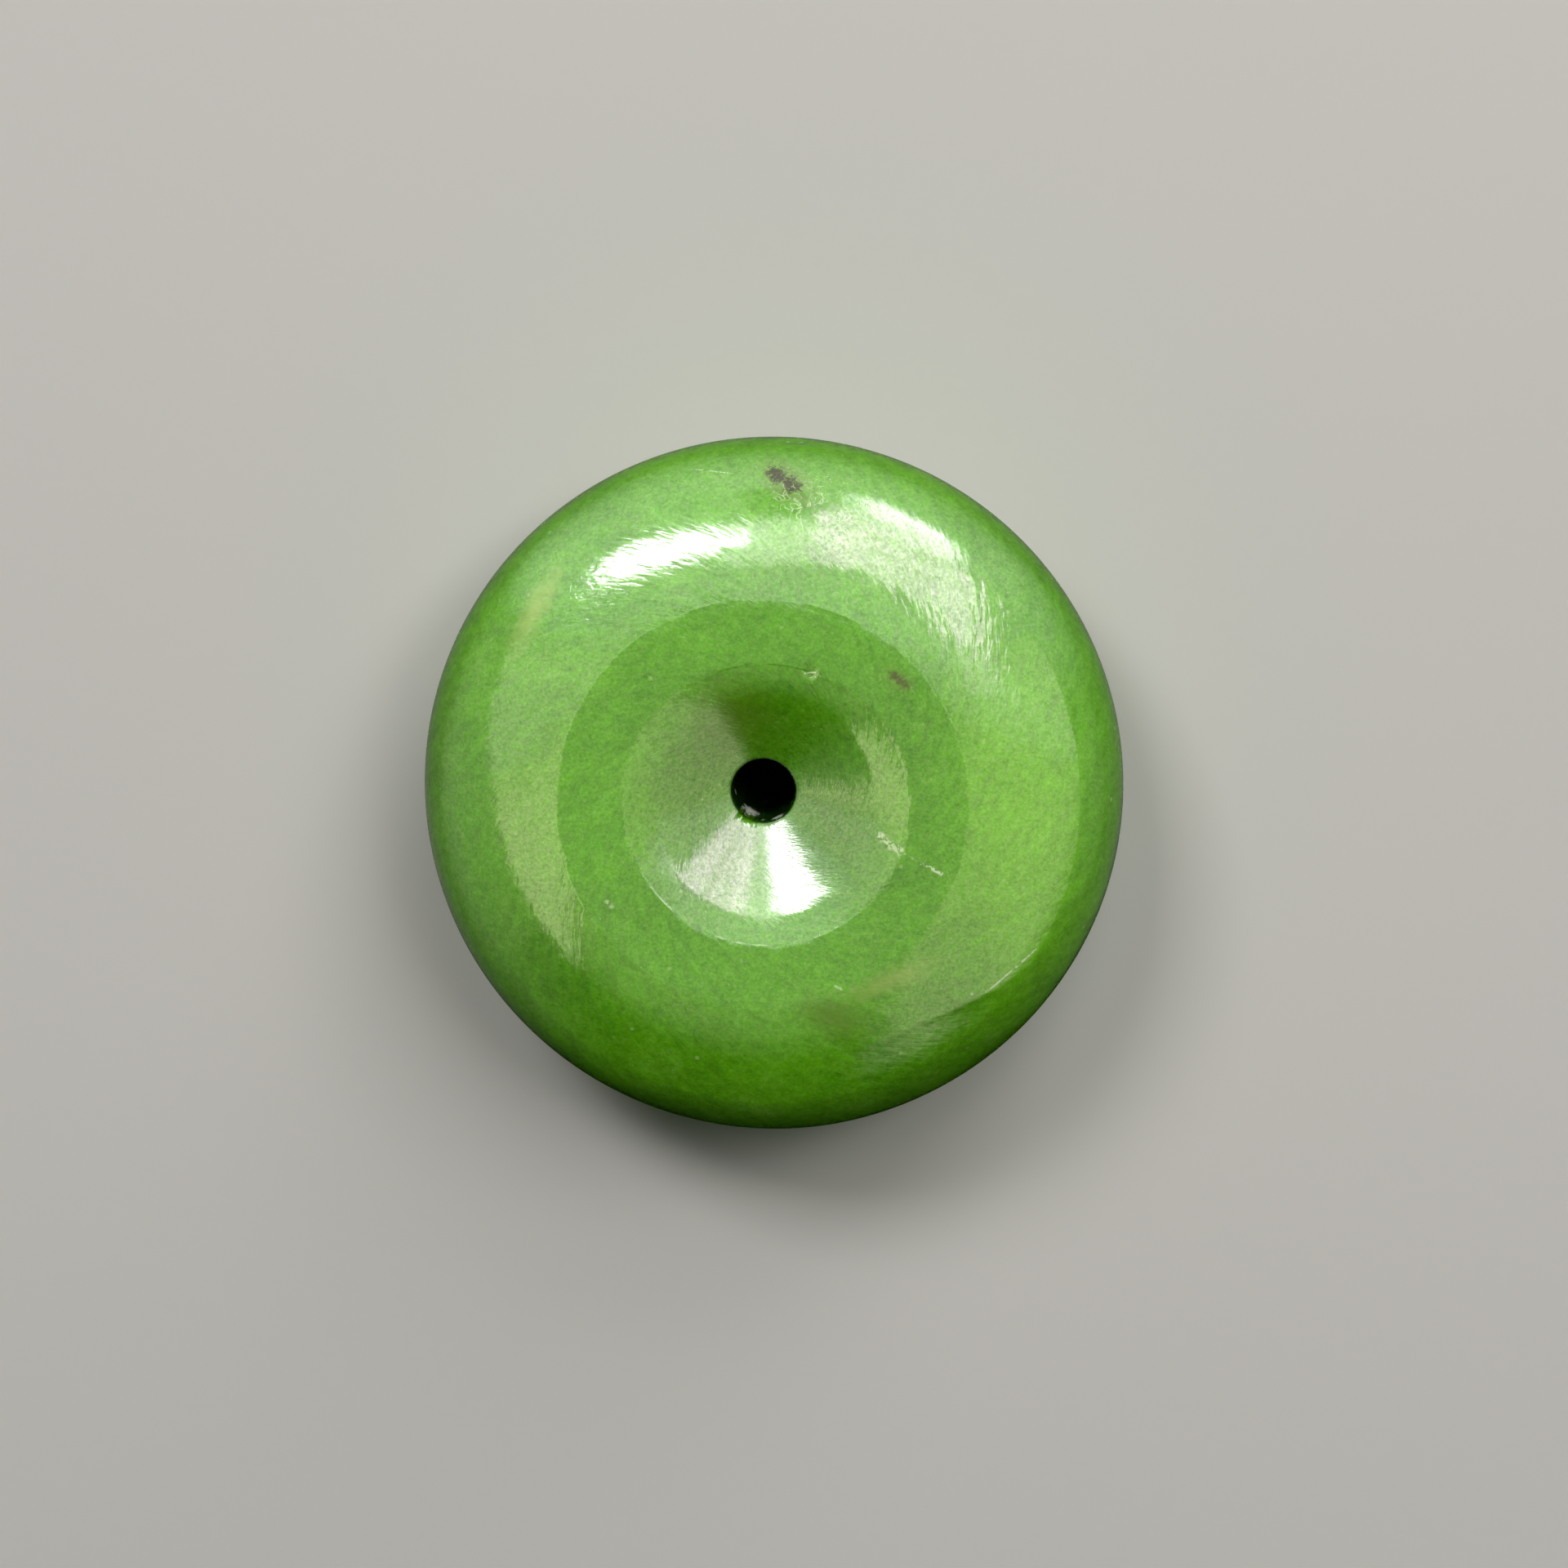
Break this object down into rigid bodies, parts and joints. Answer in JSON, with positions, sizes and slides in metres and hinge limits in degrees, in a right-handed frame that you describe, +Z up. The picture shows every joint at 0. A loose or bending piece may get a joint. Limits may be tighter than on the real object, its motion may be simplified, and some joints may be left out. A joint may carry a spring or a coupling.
{
  "type": "jade donut pendant",
  "caption": "Round polished green jade disc with a funnel-shaped hollow on each face and a small bore through the middle for a cord.",
  "frame": {"origin": "centre of the underside, at the middle of the disc's outline, on the plane that the disc lies on", "axes": "+Z up along the bore, out of the upper face; +Y towards the top edge of the picture and +X towards its right edge"},
  "size_m": [0.026, 0.026, 0.0092],
  "materials": {
    "jade": "high polish, faintly cloudy translucent green stone with a few dark specks"
  },
  "bodies": {
    "root": {"jade_donut": "jade"}
  },
  "joints": []
}
